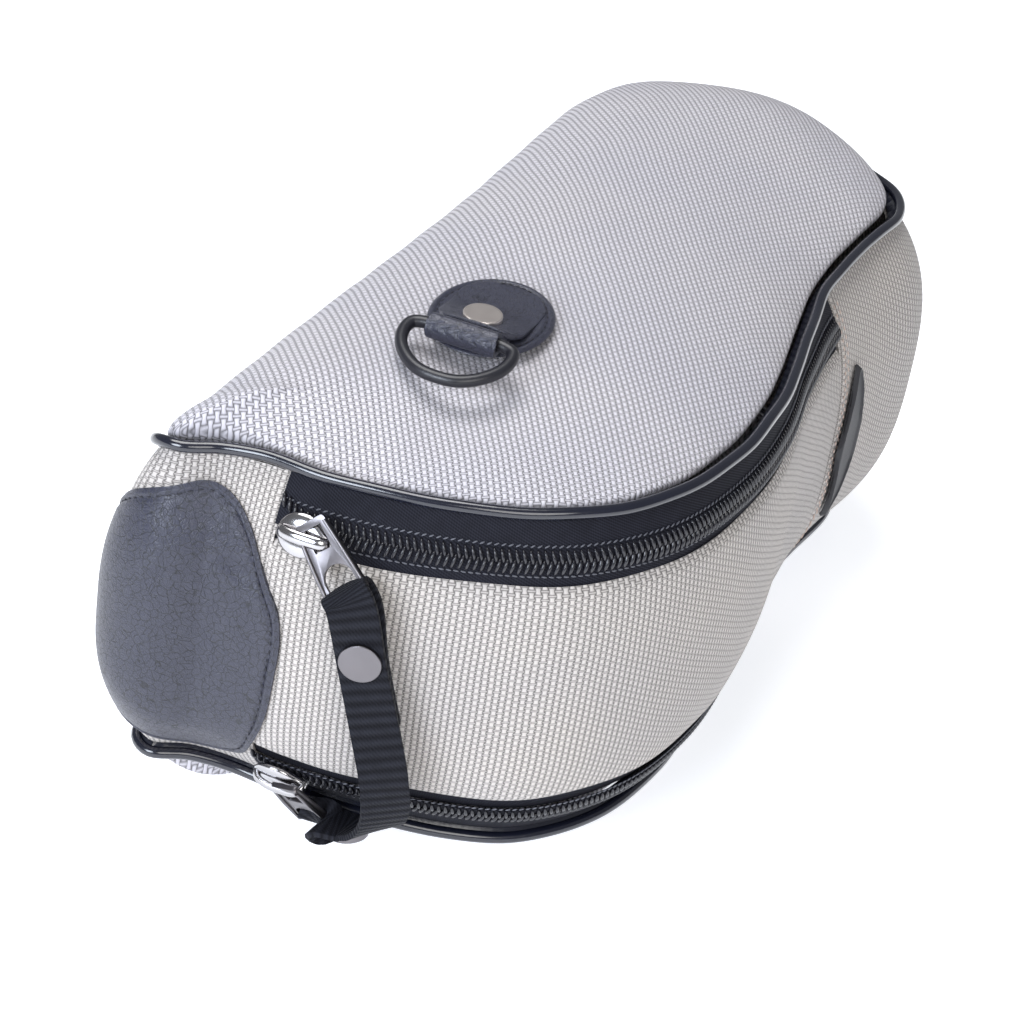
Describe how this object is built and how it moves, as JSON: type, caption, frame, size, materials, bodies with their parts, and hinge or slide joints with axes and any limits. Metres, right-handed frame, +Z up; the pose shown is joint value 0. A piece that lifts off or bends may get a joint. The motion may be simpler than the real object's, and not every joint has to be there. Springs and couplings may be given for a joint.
{
  "type": "lens pouch",
  "caption": "Soft padded pouch for a camera lens, lying on its side, with a curved zipped lid, piped seams, leather patches, pull strap and D-rings.",
  "frame": {"origin": "middle of the underside of the pouch as it lies on its side", "axes": "+X to the round bottom end, -Y to the front with the lid, +Z up through the side panels"},
  "size_m": [0.248, 0.1224, 0.1127],
  "materials": {
    "woven_cloth": "coarse woven nylon, matte",
    "piping": "glossy black",
    "zip_tape": "fine woven tape, matte",
    "zip_coil": "black nylon coil",
    "bright_nickel": "bright nickel plate",
    "satin_nickel": "satin nickel",
    "black_leather": "pebbled black leather with a slight sheen",
    "strap_webbing": "black ribbed webbing",
    "ring_paint": "black enamel, satin",
    "patch_rubber": "moulded black rubber, matte"
  },
  "bodies": {
    "pouch": {"side_panel_upper": "woven_cloth", "side_panel_lower": "woven_cloth", "piping_upper": "piping", "piping_lower": "piping", "gusset_bottom_front": "woven_cloth", "gusset_back": "woven_cloth", "gusset_top_end": "woven_cloth", "lid_strip": "woven_cloth", "zip_tape_fixed_upper": "zip_tape", "zip_tape_lid_upper": "zip_tape", "zip_chain_upper": "zip_coil", "slider_upper": "bright_nickel", "pull_upper": "satin_nickel", "ring_tab_upper": "black_leather", "ring_strip_upper": "black_leather", "rivet_upper": "satin_nickel", "zip_tape_fixed_lower": "zip_tape", "zip_tape_lid_lower": "zip_tape", "zip_chain_lower": "zip_coil", "slider_lower": "bright_nickel", "pull_lower": "satin_nickel", "ring_tab_lower": "black_leather", "ring_strip_lower": "black_leather", "rivet_lower": "satin_nickel", "webbing_strap": "strap_webbing", "strap_cap_upper": "satin_nickel", "strap_cap_lower": "satin_nickel", "leather_end_patch": "black_leather", "oval_patch": "patch_rubber", "belt_loop": "strap_webbing"},
    "ring_upper": {"d_ring_upper": "ring_paint"},
    "ring_lower": {"d_ring_lower": "ring_paint"}
  },
  "joints": [
    {"name": "ring_upper_swing", "type": "hinge", "parent": "pouch", "child": "ring_upper", "pos_m": [-0.06535, 0.00194, 0.1095], "axis": [-0.0698, 0.9976, 0], "range_deg": [0, 120]},
    {"name": "ring_lower_swing", "type": "hinge", "parent": "pouch", "child": "ring_lower", "pos_m": [-0.06535, 0.00194, 0.00405], "axis": [0.0698, -0.9976, 0], "range_deg": [0, 120]}
  ]
}
